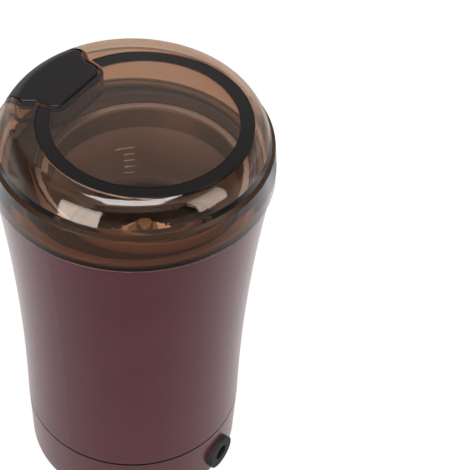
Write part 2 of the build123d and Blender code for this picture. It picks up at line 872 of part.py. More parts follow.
def grinding_blade():
    """Flat steel centre with two wings, twisted opposite ways and ground to an edge."""
    wing = face_of(
        Polyline(
            (0, -blade_root_width / 2),
            (blade_reach - blade_edge_width, -blade_root_width / 2),
            (blade_reach, -blade_root_width / 2 + blade_tip_width / 2),
            (blade_reach - blade_edge_width, blade_tip_width / 2),
            (0, blade_root_width / 2),
            close=True,
        )
    )
    wing = extrude(wing, blade_thickness)
    edge_low = -blade_root_width / 2
    bevel = face_of(
        Polyline(
            (edge_low - overrun, blade_edge_thickness - overrun * blade_thickness / blade_edge_width),
            (edge_low + blade_edge_width, blade_thickness),
            (edge_low + blade_edge_width, blade_thickness + overrun),
            (edge_low - overrun, blade_thickness + overrun),
            close=True,
        )
    )
    cutter = extrude(Plane.YZ * bevel, blade_reach + overrun)
    across = (-blade_reach, blade_reach)
    cutter &= block((blade_centre_radius, blade_reach + overrun), across, across)
    wing -= cutter
    middle = Pos(0, 0, blade_thickness / 2)
    wing = middle * Rot(X=blade_pitch_angle) * middle.inverse() * wing
    wing &= block((shaft_radius, blade_reach + overrun), across, across)
    blade = rod(blade_centre_radius, 0, blade_thickness) + wing + Rot(Z=180) * wing
    keep = rod(collar_radius, -blade_reach, 0) + rod(nut_radius, blade_thickness, blade_reach)
    blade -= keep
    blade -= rod(stud_radius + seat_gap, -overrun, blade_thickness + overrun)
    return motor_axis(Pos(0, 0, blade_low) * Rot(Z=blade_turn) * blade)


def blade_nut():
    """Hexagon nut with a slim round cap that clamps the blade."""
    nut = Pos(0, 0, nut_low) * extrude(RegularPolygon(nut_radius, 6), nut_hex_height)
    section = Pos(nut_cap_radius / 2, (nut_low + nut_top) / 2) * Rectangle(nut_cap_radius, nut_top - nut_low)
    nut += turned(softened(section, nut_cap_round, (nut_cap_radius, nut_top)))
    hole_top = nut_top - nut_roof + seat_gap
    return motor_axis(nut - rod(stud_radius + seat_gap, nut_low - overrun, hole_top))


def micro_switch():
    """Snap switch with two peg holes, a plunger bore and three terminals."""
    half_width = switch_width / 2
    half_depth = switch_depth / 2
    y_span = (switch_y - half_depth, switch_y + half_depth)
    body = block((-half_width, half_width), y_span, (switch_low, switch_top))
    for side in (-1, 1):
        hole = Rot(X=90) * rod(switch_peg_radius + seat_gap, -switch_depth, switch_depth)
        x = side * (half_width - switch_peg_inset)
        body -= Pos(x, switch_y, switch_low + switch_peg_level) * hole
    bore_low = switch_top - plunger_seat - press_travel - free_gap
    body -= rod(plunger_radius + running_gap, bore_low, switch_top + overrun, 0, switch_y)
    for index in (-1, 0, 1):
        x = index * terminal_pitch
        body += block(
            (x - terminal_thickness / 2, x + terminal_thickness / 2),
            (switch_y - terminal_width / 2, switch_y + terminal_width / 2),
            (switch_low - terminal_length, switch_low),
        )
    return body


def switch_plunger():
    """Pin that carries the press from the lid's rod down to the micro switch."""
    collar_top = switch_top + press_travel + free_gap + plunger_collar_height
    pin = rod(plunger_radius, switch_top - plunger_seat, plunger_top, 0, switch_y)
    return pin + rod(plunger_collar_radius, collar_top - plunger_collar_height, collar_top, 0, switch_y)


def plunger_boot():
    """Rubber bush that closes the deck round the plunger."""
    boot = rod(boot_spigot_radius, deck_low, deck_top, 0, switch_y)
    boot += rod(boot_radius, deck_top, deck_top + boot_height, 0, switch_y)
    return boot - rod(plunger_radius + running_gap, deck_low - overrun, plunger_top, 0, switch_y)


def button_outline(margin):
    """The button in plan: a wing with a straight inner edge, drawn out by a margin."""
    end_radius = lid_radius - button_setback
    inner_y = button_length - end_radius
    half_lobe = button_lobe_width / 2
    chord = (half_lobe * chord_share, inner_y)
    notch = (half_lobe * notch_width_share, inner_y - button_length * notch_place_share)
    lobe = (half_lobe, inner_y - button_length * lobe_place_share)
    cusp = (half_lobe * cusp_width_share, inner_y - button_length * cusp_place_share)
    tail_x = half_lobe * tail_width_share
    tail = (tail_x, -sqrt(end_radius**2 - tail_x**2))
    right = [chord, notch, lobe, cusp, tail]
    left = [(-x, y) for x, y in reversed(right)]
    sides = Polyline(*left, *right)
    end = ThreePointArc(tail, (0, -end_radius), left[0])
    outline = face_of(sides, end)
    outline = softened(outline, button_corner_round, chord, left[-1])
    outline = softened(outline, button_notch_round, notch, left[-2], cusp, left[1])
    outline = softened(outline, button_lobe_round, lobe, left[-3])
    return offset(outline, margin, kind=Kind.ARC) if margin else outline


def dome_face():
    """Half outline of the dome: flat window, rounded shoulder and foot."""
    crown = EllipticalCenterArc((window_radius, joint_level), dome_run, lid_height, arc_size=90)
    rest = Polyline(
        (window_radius, lid_top),
        (0, lid_top),
        (0, joint_level),
        (lid_radius, joint_level),
    )
    return face_of(crown, rest)


def dome_solid(drop):
    """The dome as a solid, sunk by a drop."""
    return Pos(0, 0, -drop) * turned(dome_face())


def lid_outside():
    """The dome with the band that stands out round its foot, sloped at its top."""
    band_radius = lid_radius - band_draft
    band_corner = (band_radius, band_top - band_slope)
    band = face_of(
        Polyline(
            (0, joint_level),
            (lid_radius, joint_level),
            (lid_radius, joint_level + band_straight),
            band_corner,
            (band_radius - band_slope, band_top),
            (0, band_top),
            close=True,
        )
    )
    outline = softened(dome_face() + band, band_round, band_corner)
    return turned(softened(outline, lid_edge_round, (lid_radius, joint_level)))


def lid_hollow():
    """The space inside the lid: a straight bore under the dome."""
    run = dome_run - lid_wall
    crown = EllipticalCenterArc((window_radius, joint_level), run, lid_height - lid_window, arc_size=90)
    inner_radius = lid_radius - lid_wall
    rest = Polyline(
        (window_radius, lid_top - lid_window),
        (0, lid_top - lid_window),
        (0, joint_level - overrun),
        (inner_radius, joint_level - overrun),
        (inner_radius, joint_level),
    )
    return turned(face_of(crown, rest)) & rod(lid_inner_radius, joint_level - overrun, lid_top)


def upright(sketch, low, high):
    """A flat outline made into a solid between two levels."""
    return Pos(0, 0, low) * extrude(sketch, high - low)


def lid_shell():
    """Clear dome on a stepped band, with a pocket for the button and a rod guide."""
    pocket = upright(button_outline(pocket_gap), pocket_floor, lid_top + overrun)
    casing = upright(button_outline(pocket_gap + pocket_wall), pocket_under, lid_top + overrun)
    shell = lid_outside() - lid_hollow() + (dome_solid(0) & casing)
    guide_radius = rod_radius + running_gap
    shell += rod(guide_radius + guide_wall, pocket_under - guide_length, pocket_floor, 0, switch_y)
    shell -= pocket
    shell -= rod(guide_radius, pocket_under - guide_length - overrun, pocket_floor + overrun, 0, switch_y)
    return shell - ring_groove(seat_gap, lid_top + overrun)


def ring_groove(margin, top):
    """The annular space of the trim ring, open where the button's pocket crosses it."""
    inner = ring_radius - ring_width - margin
    band = motor_axis(tube(ring_radius + margin, inner, lid_top - ring_depth, top))
    gap = pocket_gap + pocket_wall - margin
    return band - upright(button_outline(gap), lid_top - lid_window, lid_top + 2 * overrun)


def trim_ring():
    """Black ring let into the groove, a hair below the window."""
    ring = ring_groove(0, lid_top - ring_sink)
    top_edges = ring.edges().filter_by(GeomType.CIRCLE).group_by(Axis.Z)[-1]
    return fillet(top_edges.sort_by(SortBy.RADIUS)[-1], ring_round)


def switch_button():
    """Black press button, flush with the dome and hollow below, with a rod boss."""
    button = upright(button_outline(0), button_low, lid_top + overrun) & dome_solid(0)
    room = upright(button_outline(-button_wall), button_low - overrun, lid_top)
    button -= room & dome_solid(button_roof)
    inside = dome_solid(button_roof / 2)
    button += rod(button_boss_radius, button_low, lid_top, 0, switch_y) & inside
    button += rod(button_seat_radius, spring_high, lid_top, 0, switch_y) & inside
    return button - rod(rod_radius + seat_gap, button_low - overrun, rod_top, 0, switch_y)


def push_rod():
    """Rod under the button that reaches down to the switch plunger."""
    return rod(rod_radius, rod_low, rod_top, 0, switch_y)


def biarc(start, start_heading, end, end_heading):
    """Two tangent arcs that leave the start and reach the end along the given headings."""
    chord = end - start
    along = chord.dot(start_heading + end_heading)
    bend = 2 * (start_heading.dot(end_heading) - 1)
    reach = (along - sqrt(along**2 - bend * chord.dot(chord))) / bend
    first_corner = start + start_heading * reach
    last_corner = end - end_heading * reach
    middle = (first_corner + last_corner) / 2
    first = TangentArc(start, middle, tangent=start_heading)
    return [first, TangentArc(middle, end, tangent=last_corner - first_corner)]


def spring_path():
    """Edges of the spring's middle line: a coil of biarcs with a short straight lead at each end."""
    climb = (spring_length - 2 * spring_wire_radius) / (2 * pi * spring_turns)
    step = 2 * pi / arcs_per_turn
    start_level = pocket_floor + spring_wire_radius

    def place(angle):
        x = spring_radius * cos(angle)
        y = spring_radius * sin(angle) + switch_y
        return Vector(x, y, start_level + climb * angle)

    def heading(angle):
        return Vector(-spring_radius * sin(angle), spring_radius * cos(angle), climb).normalized()

    angles = [index * step for index in range(spring_turns * arcs_per_turn + 1)]
    edges = []
    for low, high in zip(angles, angles[1:]):
        edges += biarc(place(low), heading(low), place(high), heading(high))
    lead = 2 * spring_wire_radius
    first = place(angles[0])
    last = place(angles[-1])
    flat_first = Vector(0, -lead, 0)
    flat_last = Vector(0, lead, 0)
    return [Line(first + flat_first, first), *edges, Line(last, last + flat_last)]


def least_turn_gap(edges):
    """Smallest space between neighbouring turns, measured on points of the middle line."""
    shares = [index / samples_per_arc for index in range(samples_per_arc)]
    points = [edge.position_at(share) for edge in edges for share in shares]
    apart = arcs_per_turn * samples_per_arc
    gaps = []
    for index, point in enumerate(points):
        gaps += [(point - other).length for other in points[index + apart :]]
    return min(gaps) - 2 * spring_wire_radius


def button_spring():
    """Wire coil round the rod that lifts the button after a press."""
    edges = spring_path()
    print(f"button_spring least gap between turns {least_turn_gap(edges):.2f} mm")
    path = Wire(edges)
    section = Plane(origin=path @ 0, z_dir=path % 0) * Circle(spring_wire_radius)
    return sweep(section, path=path)


pieces = {
    "housing_shell": housing_shell(),
    "base_cover": base_cover(),
    "base_screws": base_screws(),
    "rubber_feet": rubber_feet(),
    "cord_gland": cord_gland(),
    "grinding_bowl": grinding_bowl(),
    "rim_seal": rim_seal(),
    "bowl_cushion": bowl_cushion(),
    "bowl_bush": bowl_bush(),
    "motor_carrier": motor_carrier(),
    "carrier_screws": carrier_screws(),
    "upper_bush": shaft_bush(upper_bush_low, upper_bush_top),
    "stator_core": stator_core(),
    "field_coils": field_coils(),
    "lower_bracket": lower_bracket(),
    "lower_bush": shaft_bush(bracket_low, lower_bush_top),
    "motor_screws": motor_screws(),
    "brush_holders": brush_holders(),
    "carbon_brushes": carbon_brushes(),
    "motor_shaft": motor_shaft(),
    "armature_core": armature_core(),
    "armature_winding": armature_winding(),
    "commutator": commutator(),
    "cooling_fan": cooling_fan(),
    "thrust_washers": thrust_washers(),
    "blade_collar": blade_collar(),
    "grinding_blade": grinding_blade(),
    "blade_nut": blade_nut(),
    "micro_switch": micro_switch(),
    "switch_plunger": switch_plunger(),
    "plunger_boot": plunger_boot(),
    "lid_shell": lid_shell(),
    "trim_ring": trim_ring(),
    "switch_button": switch_button(),
    "push_rod": push_rod(),
    "button_spring": button_spring(),
}

os.makedirs("parts", exist_ok=True)
for name, shape in pieces.items():
    solid = Compound(shape) if isinstance(shape, list) else shape
    export_step(solid, f"parts/{name}.step")
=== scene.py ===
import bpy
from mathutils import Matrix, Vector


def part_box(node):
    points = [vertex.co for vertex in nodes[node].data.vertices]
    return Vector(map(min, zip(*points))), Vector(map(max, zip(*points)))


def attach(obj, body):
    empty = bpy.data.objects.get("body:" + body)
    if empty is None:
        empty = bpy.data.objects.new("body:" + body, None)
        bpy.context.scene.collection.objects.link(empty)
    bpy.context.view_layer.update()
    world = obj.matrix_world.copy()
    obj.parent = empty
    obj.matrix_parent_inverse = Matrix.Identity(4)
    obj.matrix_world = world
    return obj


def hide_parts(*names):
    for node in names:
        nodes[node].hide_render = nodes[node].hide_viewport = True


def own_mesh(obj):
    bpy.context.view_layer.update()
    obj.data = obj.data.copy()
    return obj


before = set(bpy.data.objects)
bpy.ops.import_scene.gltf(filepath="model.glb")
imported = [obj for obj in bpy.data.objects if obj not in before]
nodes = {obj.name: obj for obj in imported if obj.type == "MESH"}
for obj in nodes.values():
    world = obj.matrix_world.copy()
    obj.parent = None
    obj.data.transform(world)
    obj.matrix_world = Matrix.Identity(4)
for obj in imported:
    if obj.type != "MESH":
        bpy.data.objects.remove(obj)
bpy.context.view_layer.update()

from math import cos, pi, radians, sin

import bmesh
import bpy
from mathutils import Matrix, Vector


# Base cover: the shallow cup under the seam. It is moulded in the same burgundy plastic as the
# body, with a satin skin from the mould, and three screws hold it from below.

mm = 0.001


class Wire:
    """One shader socket. Sums on it add Math nodes, and add() puts any other node in its tree."""

    def __init__(self, node, output=0):
        self.node = node
        self.socket = node.outputs[output]

    def add(self, kind, inputs, output=0, **settings):
        node = self.node.id_data.nodes.new(kind)
        for name, value in settings.items():
            setattr(node, name, value)
        for name, value in inputs.items():
            feed(node, name, value)
        return Wire(node, output)

    def math(self, operation, first, second=0.0):
        return self.add("ShaderNodeMath", {0: first, 1: second}, operation=operation)

    def __add__(self, other):
        return self.math("ADD", self, other)

    def __radd__(self, other):
        return self.math("ADD", other, self)

    def __sub__(self, other):
        return self.math("SUBTRACT", self, other)

    def __rsub__(self, other):
        return self.math("SUBTRACT", other, self)

    def __mul__(self, other):
        return self.math("MULTIPLY", self, other)

    def __rmul__(self, other):
        return self.math("MULTIPLY", other, self)


def feed(node, name, value):
    """Give a node's input a plain value, or link a wire to it."""
    if isinstance(value, Wire):
        node.id_data.links.new(value.socket, node.inputs[name])
    else:
        node.inputs[name].default_value = value


def new_finish(name, **constants):
    """A material with one Principled shader; returns it, the shader and the object's coordinates."""
    material = bpy.data.materials.new(name)
    material.use_nodes = True
    shader = material.node_tree.nodes["Principled BSDF"]
    for socket, value in constants.items():
        shader.inputs[socket.replace("_", " ")].default_value = value
    place = Wire(material.node_tree.nodes.new("ShaderNodeTexCoord"), "Object")
    return material, shader, place


def level_of(place):
    """The height of a place."""
    return place.add("ShaderNodeSeparateXYZ", {0: place}, "Z")


def noise(place, scale, detail=2.0):
    """Soft even noise about 0.5, with cells of about 1 / scale metres."""
    return place.add("ShaderNodeTexNoise", {"Vector": place, "Scale": scale, "Detail": detail})


def shade(colour, amount):
    """A colour made lighter or darker."""
    return tuple(channel * amount for channel in colour) + (1.0,)


def between(share, first, second):
    """A colour between two others."""
    return share.add("ShaderNodeMix", {"Factor": share, 6: first, 7: second}, 2, data_type="RGBA")


def mottled(share, colour, darkest, lightest):
    """A colour that wanders between a darker and a lighter shade of itself."""
    return between(share, shade(colour, darkest), shade(colour, lightest))


def raised(shader, height, strength, depth):
    """Raise the surface by a pattern of heights."""
    inputs = {"Height": height, "Strength": strength, "Distance": depth}
    feed(shader, "Normal", height.add("ShaderNodeBump", inputs))


def dress(material, *names):
    """Give CAD nodes a finish."""
    for name in names:
        nodes[name].data.materials.clear()
        nodes[name].data.materials.append(material)


burgundy = (0.175, 0.041, 0.055)
pink_gloss = (1.0, 0.8, 0.82, 1.0)
pink_sheen = (1.0, 0.3, 0.36, 1.0)
satin_roughness = 0.21
satin_spread = 0.075
flow_scale = 60.0
satin_scale = 2500.0
skin_detail = 3.0
skin_depth = 0.02 * mm
skin_strength = 0.1
seam_gap = 0.6 * mm
seam_shadow_reach = 0.55 * mm
seam_shadow_darkness = 0.06
seam_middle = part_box("housing_shell")[0].z - seam_gap / 2


def satin_burgundy(name):
    """The base and body finish, with shade painted dark along the seam; returns its parts and its colour."""
    material, shader, place = new_finish(
        name,
        Specular_IOR_Level=0.42,
        Specular_Tint=pink_gloss,
        Sheen_Weight=0.15,
        Sheen_Roughness=0.4,
        Sheen_Tint=pink_sheen,
    )
    flow = noise(place, flow_scale)
    skin = noise(place, satin_scale, skin_detail)
    level = level_of(place)
    # Painted shade: a band along the seam is painted near black, as the shadow in the groove.
    offset = level.math("ABSOLUTE", level - seam_middle)
    seam = offset.math("LESS_THAN", offset, seam_shadow_reach)
    tone = between(seam, mottled(flow, burgundy, 0.9, 1.1), shade(burgundy, seam_shadow_darkness))
    feed(shader, "Base Color", tone)
    feed(shader, "Roughness", satin_roughness + skin * satin_spread)
    raised(shader, skin, skin_strength, skin_depth)
    return material, shader, place, tone


burgundy_plastic = satin_burgundy("burgundy_plastic")[0]
dress(burgundy_plastic, "base_cover")


# Feet, cord gland and bowl cushion: soft black rubber, cast in small moulds. The feet and the
# gland are pressed into the base, and the cushion lies loose between the carrier and the bowl.

rubber_black = (0.014, 0.014, 0.0145)
rubber_depth = 0.05 * mm


def gloss(shader, roughness, pattern, spread):
    """A roughness that a pattern spreads evenly about its mean."""
    feed(shader, "Roughness", roughness * (1 - spread / 2) + pattern * (roughness * spread))


def moulded(name, colour, roughness, grain, depth=skin_depth, **constants):
    """Moulded plastic or rubber: faint flow marks in its colour, and a fine skin in its gloss."""
    material, shader, place = new_finish(name, **constants)
    flow = noise(place, flow_scale)
    skin = noise(place, grain, skin_detail)
    feed(shader, "Base Color", mottled(flow, colour, 0.9, 1.1))
    gloss(shader, roughness, skin, spread=0.3)
    raised(shader, skin, skin_strength, depth)
    return material


black_rubber = moulded("black_rubber", rubber_black, roughness=0.72, grain=4500.0, depth=rubber_depth)
dress(black_rubber, "rubber_feet", "cord_gland", "bowl_cushion")


# Screws: cold-headed steel with a bright zinc plating, driven in from below. Three hold the base,
# three the motor's carrier, and two long ones draw the motor together.

zinc = (0.58, 0.58, 0.57)


def plated(name, colour, roughness, grain):
    """Plated metal: a crystalline cloud in its colour and gloss."""
    material, shader, place = new_finish(name, Metallic=1.0)
    cloud = noise(place, grain, skin_detail)
    feed(shader, "Base Color", mottled(cloud, colour, 0.85, 1.1))
    gloss(shader, roughness, cloud, spread=0.6)
    return material


screw_steel = plated("screw_steel", zinc, roughness=0.3, grain=900.0)
dress(screw_steel, "base_screws", "carrier_screws", "motor_screws")


# Motor frame: a moulded carrier above and a bracket below, in dark grey glass-filled plastic,
# drawn together on the stator by the two long screws.

carrier_grey = (0.021, 0.021, 0.023)
carrier_depth = 0.06 * mm
carrier_plastic = moulded("carrier_plastic", carrier_grey, roughness=0.5, grain=1600.0, depth=carrier_depth)
dress(carrier_plastic, "motor_carrier", "lower_bracket")


# Bushes: sintered bronze, oily and finely porous, pressed into the carrier, the bracket and
# the boss of the bowl.

bronze = (0.36, 0.2, 0.075)
pore_depth = 0.03 * mm


def ramp(value, start, end, first=0.0, last=1.0):
    """A number that goes from first to last while a value goes from start to end."""
    inputs = {"Value": value, "From Min": start, "From Max": end, "To Min": first, "To Max": last}
    return value.add("ShaderNodeMapRange", inputs)


def porous(name, colour, roughness, pore, **constants):
    """Pressed metal or carbon: dark pores, which are rougher, in a smooth ground."""
    material, shader, place = new_finish(name, **constants)
    cells = place.add("ShaderNodeTexVoronoi", {"Vector": place, "Scale": pore}, "Distance")
    ground = ramp(cells, 0.1, 0.45)
    feed(shader, "Base Color", mottled(ground, colour, 0.45, 1.05))
    feed(shader, "Roughness", roughness * 1.3 - ground * (roughness * 0.35))
    raised(shader, ground, 0.2, pore_depth)
    return material


bearing_bronze = porous("bearing_bronze", bronze, roughness=0.4, pore=2600.0, Metallic=1.0)
dress(bearing_bronze, "upper_bush", "lower_bush", "bowl_bush")


# Stator and armature cores: punched silicon steel sheets, stacked and riveted. Their edges show
# as fine lines round the stack.

sheet_pitch = 0.5 * mm
sheet_depth = 0.05 * mm
sheet_dark = (0.03, 0.03, 0.034, 1.0)
sheet_bright = (0.13, 0.13, 0.14, 1.0)


def ridges(value, pitch):
    """Even waves from 0 to 1 along a value, one to each pitch."""
    return value.math("SINE", value * (2 * pi / pitch)) * 0.5 + 0.5


lamination_steel, stack_shader, stack_place = new_finish("lamination_steel", Metallic=0.8)
sheet_line = ridges(level_of(stack_place), sheet_pitch)
stack_cloud = noise(stack_place, scale=400.0)
sheet_tone = sheet_line * 0.6 + stack_cloud * 0.4
feed(stack_shader, "Base Color", between(sheet_tone, sheet_dark, sheet_bright))
feed(stack_shader, "Roughness", 0.62 - stack_cloud * 0.25)
raised(stack_shader, sheet_line, 0.5, sheet_depth)
dress(lamination_steel, "stator_core", "armature_core")


# Field coils and armature winding: enamelled copper wire, wound in layers and varnished, so that
# each turn shows as a thin ridge.

wire_pitch = 0.45 * mm
wire_depth = 0.12 * mm
wire_wander = 2 * mm
winding_slant = (1.0, 1.0, 0.35)
wire_dark = (0.17, 0.045, 0.016, 1.0)
wire_bright = (0.52, 0.19, 0.075, 1.0)


def along(place, direction):
    """How far a place lies along a direction."""
    inputs = {0: place, 1: direction}
    return place.add("ShaderNodeVectorMath", inputs, "Value", operation="DOT_PRODUCT")


copper_wire, coil_shader, coil_place = new_finish("copper_wire", Metallic=0.9, Coat_Weight=0.5)
coil_wander = noise(coil_place, scale=90.0) * wire_wander
turn_line = ridges(along(coil_place, winding_slant) + coil_wander, wire_pitch)
feed(coil_shader, "Base Color", between(turn_line, wire_dark, wire_bright))
feed(coil_shader, "Roughness", 0.5 - turn_line * 0.2)
raised(coil_shader, turn_line, 0.8, wire_depth)
dress(copper_wire, "field_coils", "armature_winding")


# Brush gear: folded brass boxes on the bracket, and the pressed carbon brushes that slide in them
# and bear on the commutator from both sides.

brass = (0.58, 0.36, 0.1)
carbon = (0.02, 0.02, 0.021)
holder_brass = plated("holder_brass", brass, roughness=0.34, grain=500.0)
dress(holder_brass, "brush_holders")
brush_carbon = porous("brush_carbon", carbon, roughness=0.6, pore=1800.0)
dress(brush_carbon, "carbon_brushes")


# Shaft, washers and commutator: ground steel and turned copper on the motor's axis, with the fine
# rings that the wheel or the tool leaves.

ground_steel = (0.56, 0.56, 0.57)
turned_copper = (0.55, 0.25, 0.13)
grinding_pitch = 0.3 * mm
turning_pitch = 0.5 * mm
ring_strength = 0.15
ring_depth = 0.02 * mm
motor_low, motor_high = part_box("motor_shaft")
motor_middle = (motor_low + motor_high) / 2


def round_axis(place, x, y):
    """The distance from an upright axis, and the level."""
    centred = place.add("ShaderNodeVectorMath", {0: place, 1: (x, y, 0.0)}, operation="SUBTRACT")
    flat = centred.add("ShaderNodeVectorMath", {0: centred, 1: (1.0, 1.0, 0.0)}, operation="MULTIPLY")
    distance = flat.add("ShaderNodeVectorMath", {0: flat}, "Value", operation="LENGTH")
    return distance, level_of(centred)


def tool_rings(distance, level, pitch):
    """Fine uneven rings round an axis, as a tool or a brush leaves them."""
    profile = distance.add("ShaderNodeCombineXYZ", {"X": distance, "Y": level})
    return noise(profile, scale=1.0 / pitch, detail=4.0)


def spun(name, colour, roughness, pitch, contrast):
    """Metal worked round the motor's axis: fine rings in its colour, gloss and surface."""
    material, shader, place = new_finish(name, Metallic=1.0)
    rings = tool_rings(*round_axis(place, motor_middle.x, motor_middle.y), pitch)
    tone = rings * contrast + noise(place, scale=120.0) * (1.0 - contrast)
    feed(shader, "Base Color", mottled(tone, colour, 0.82, 1.12))
    gloss(shader, roughness, tone, spread=0.5)
    raised(shader, rings, ring_strength, ring_depth)
    return material


shaft_steel = spun("shaft_steel", ground_steel, roughness=0.2, pitch=grinding_pitch, contrast=0.7)
dress(shaft_steel, "motor_shaft", "thrust_washers")
commutator_copper = spun("commutator_copper", turned_copper, roughness=0.3, pitch=turning_pitch, contrast=0.8)
dress(commutator_copper, "commutator")


# Cooling fan: one moulding in unfilled plastic, left in its natural milky colour. It is pushed on
# the shaft above the armature and cools the motor.

milky = (0.5, 0.47, 0.4)
fan_plastic = moulded("fan_plastic", milky, roughness=0.42, grain=1200.0, Subsurface_Weight=0.1)
dress(fan_plastic, "cooling_fan")


# Housing: the flared body with its deck and the rim round the bowl, moulded in two shots. The body
# has the burgundy and the satin skin of the base. What the lid covers is grey, and the outer side of
# the rim is paler.

deck_grey = (0.06, 0.056, 0.059)
rim_grey = (0.29, 0.235, 0.19)
lid_bore = 44.75 * mm
covered_depth = 4.4 * mm
rim_reach = 1.6 * mm
rim_foot = 1.5 * mm
bowl_low, bowl_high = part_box("grinding_bowl")
deck_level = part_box("rim_seal")[0].z
deck_under = deck_level - covered_depth
rim_outside = bowl_high.x + rim_reach
body_plastic, body_shader, body_place, body_tone = satin_burgundy("body_plastic")
body_distance, body_level = round_axis(body_place, 0.0, 0.0)
inside = body_distance.math("LESS_THAN", body_distance, lid_bore)
covered = inside * body_level.math("GREATER_THAN", body_level, deck_under)
rim_distance, rim_level = round_axis(body_place, motor_middle.x, motor_middle.y)
climb = ramp(rim_level, deck_level, deck_level + rim_foot)
outer_side = climb * rim_distance.math("GREATER_THAN", rim_distance, rim_outside)
deck_tone = mottled(noise(body_place, scale=90.0), deck_grey, 0.9, 1.1)
inner_tone = between(outer_side, deck_tone, shade(rim_grey, 1.0))
feed(body_shader, "Base Color", between(covered, body_tone, inner_tone))
dress(body_plastic, "housing_shell")


# Rim seal: a soft translucent silicone ring, moulded by itself and laid on the deck under the
# flange of the bowl.

silicone = (0.33, 0.31, 0.28)
seal_silicone = moulded("seal_silicone", silicone, roughness=0.5, grain=2600.0, Subsurface_Weight=0.3)
dress(seal_silicone, "rim_seal")


# Grinding bowl: drawn from stainless sheet, then brushed on a lathe, which leaves fine rings. The
# wall under the rim stays polished from the drawing, and a dark reflection is painted on it. The lower
# wall has a painted lighter reflection, and the floor is painted near black as shade and left smoother.

brush_pitch = 0.25 * mm
floor_shade_height = 8 * mm
floor_shade_fade = 3 * mm
wall_light_height = 11 * mm
dark_polished_band_depth = 9 * mm
flange_depth = 1.2 * mm
floor_shade_level = bowl_low.z + floor_shade_height
dark_polished_band_level = bowl_high.z - dark_polished_band_depth
flange_level = bowl_high.z - flange_depth
bowl_steel, bowl_shader, bowl_place = new_finish("bowl_steel", Metallic=1.0)
bowl_distance, bowl_level = round_axis(bowl_place, motor_middle.x, motor_middle.y)
bowl_rings = tool_rings(bowl_distance, bowl_level, brush_pitch)
bowl_tone = bowl_rings * 0.6 + noise(bowl_place, scale=70.0) * 0.4
# Painted shade: the floor is painted near black; the same mask also makes it smoother.
floor_shade_and_wear = ramp(bowl_level, floor_shade_level - floor_shade_fade, floor_shade_level, first=1.0, last=0.0)
# Painted reflection: the lower wall above the floor is painted lighter.
painted_wall_light = ramp(bowl_level, floor_shade_level, floor_shade_level + wall_light_height, first=1.0, last=0.0)
# Painted dark reflection: the polished band under the rim is painted darker, and it is also smoother.
upper_wall = bowl_level.math("GREATER_THAN", bowl_level, dark_polished_band_level)
polish_and_dark_reflection = upper_wall * bowl_level.math("LESS_THAN", bowl_level, flange_level)
brushed_tone = between(bowl_tone, (0.58, 0.55, 0.55, 1.0), (0.74, 0.7, 0.7, 1.0))
wall_light_tone = between(bowl_tone, (0.8, 0.77, 0.79, 1.0), (0.96, 0.92, 0.94, 1.0))
dark_reflection_tone = between(bowl_tone, (0.36, 0.345, 0.33, 1.0), (0.46, 0.44, 0.42, 1.0))
floor_shadow_tone = between(bowl_tone, (0.02, 0.016, 0.013, 1.0), (0.035, 0.028, 0.023, 1.0))
wall_tone = between(polish_and_dark_reflection, between(painted_wall_light, brushed_tone, wall_light_tone), dark_reflection_tone)
feed(bowl_shader, "Base Color", between(floor_shade_and_wear, wall_tone, floor_shadow_tone))
feed(bowl_shader, "Roughness", 0.38 + bowl_tone * 0.2 - floor_shade_and_wear * 0.2 - polish_and_dark_reflection * 0.15)
raised(bowl_shader, bowl_rings, ring_strength, ring_depth)
dress(bowl_steel, "grinding_bowl")


# Fill marks in the bowl: a long line and a row of short strokes, printed on the wall in pale enamel
# and fired, so that they stand a little proud of the steel. They carry no lettering.

enamel = (0.86, 0.83, 0.8)
mark_enamel = moulded("mark_enamel", enamel, roughness=0.4, grain=2000.0)
mark_drop = 18.4 * mm
mark_top = bowl_high.z - mark_drop
mark_pitch = 2.9 * mm
mark_count = 5
mark_start = radians(222.5)
long_sweep = radians(13)
short_sweep = radians(7)
stroke_thickness = 0.16 * mm
stroke_breadth = 0.5 * mm
stroke_points = 24


def wall_radius(level):
    """The radius of the bowl's inner wall at a level."""
    centre = Vector((motor_middle.x, motor_middle.y, level))
    heading = Vector((cos(mark_start), sin(mark_start), 0.0))
    return (nodes["grinding_bowl"].ray_cast(centre, heading)[1] - centre).length


def node_tree(name, sizes):
    """A new Geometry Nodes tree with named number inputs; returns it, those inputs and its end."""
    tree = bpy.data.node_groups.new(name, "GeometryNodeTree")
    for label in sizes:
        tree.interface.new_socket(label, in_out="INPUT", socket_type="NodeSocketFloat")
    tree.interface.new_socket("Geometry", in_out="OUTPUT", socket_type="NodeSocketGeometry")
    return tree, tree.nodes.new("NodeGroupInput").outputs, tree.nodes.new("NodeGroupOutput")


def geometry_node(tree, kind, inputs, **settings):
    """Put a node in a Geometry Nodes tree, with values or outputs as its inputs; returns its output."""
    node = tree.nodes.new(kind)
    for name, value in settings.items():
        setattr(node, name, value)
    for name, value in inputs.items():
        if isinstance(value, bpy.types.NodeSocket):
            tree.links.new(value, node.inputs[name])
        else:
            node.inputs[name].default_value = value
    return node.outputs[0]


def tree_math(tree, operation, first, second):
    """A sum in a Geometry Nodes tree; returns its output."""
    return geometry_node(tree, "ShaderNodeMath", {0: first, 1: second}, operation=operation)


def finish_tree(tree, end, output, material):
    """Close a tree with Realize Instances and Set Material."""
    solid = geometry_node(tree, "GeometryNodeRealizeInstances", {"Geometry": output})
    dressed = geometry_node(tree, "GeometryNodeSetMaterial", {"Geometry": solid, "Material": material})
    tree.links.new(dressed, end.inputs[0])


def settled(name, source, material):
    """Keep an object's shape, with its modifiers, as a plain piece, and drop the object."""
    evaluated = source.evaluated_get(bpy.context.evaluated_depsgraph_get())
    mesh = bpy.data.meshes.new_from_object(evaluated)
    bpy.data.objects.remove(source)
    mesh.name = name
    mesh.materials.clear()
    mesh.materials.append(material)
    piece = bpy.data.objects.new(name, mesh)
    bpy.context.scene.collection.objects.link(piece)
    return piece


